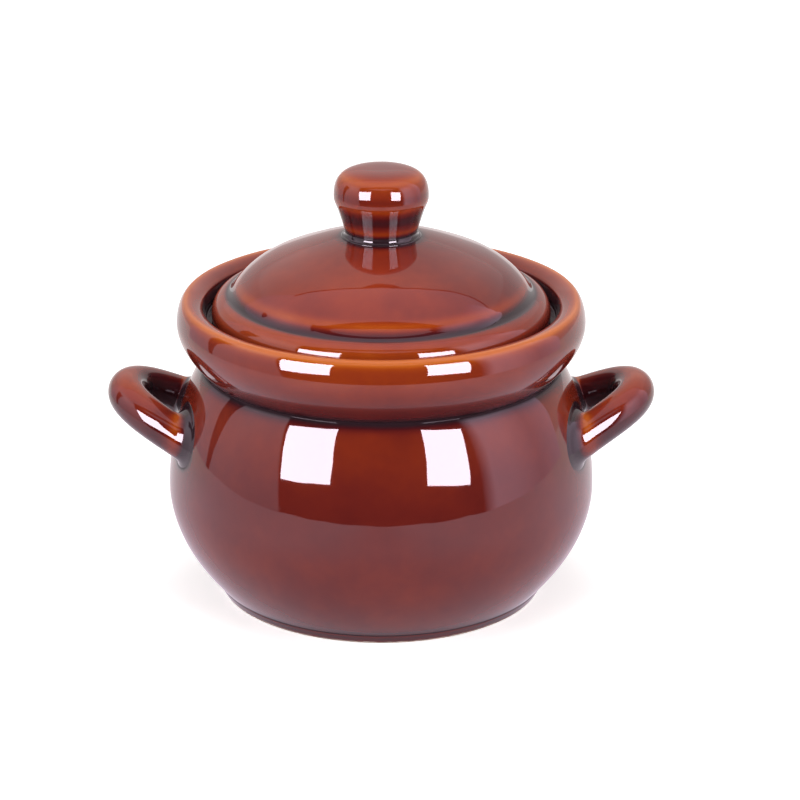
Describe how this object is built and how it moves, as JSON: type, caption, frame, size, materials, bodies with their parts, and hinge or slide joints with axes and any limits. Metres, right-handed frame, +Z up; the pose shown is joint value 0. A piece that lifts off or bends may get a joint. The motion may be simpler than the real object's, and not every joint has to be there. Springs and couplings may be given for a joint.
{
  "type": "casserole pot",
  "caption": "Round-bellied glazed stoneware casserole with a pinched neck, rolled rim, ear handles at the sides and a domed lid with a mushroom knob that lifts off",
  "frame": {"origin": "centre of the foot ring, on the surface that the pot stands on", "axes": "+Z up along the pot's axis, +X through the right handle, -Y towards the viewer"},
  "size_m": [0.2316, 0.181, 0.1837],
  "materials": {
    "body_glaze": "gloss",
    "handle_left_glaze": "gloss",
    "handle_right_glaze": "gloss",
    "lid_glaze": "gloss",
    "knob_glaze": "gloss"
  },
  "bodies": {
    "pot": {"pot_body": "body_glaze", "handle_left": "handle_left_glaze", "handle_right": "handle_right_glaze"},
    "lid": {"lid": "lid_glaze", "lid_knob": "knob_glaze"}
  },
  "joints": [
    {"name": "lid_lift", "type": "slide", "parent": "pot", "child": "lid", "axis": [0, 0, 1], "range_m": [0, 0.08]}
  ]
}
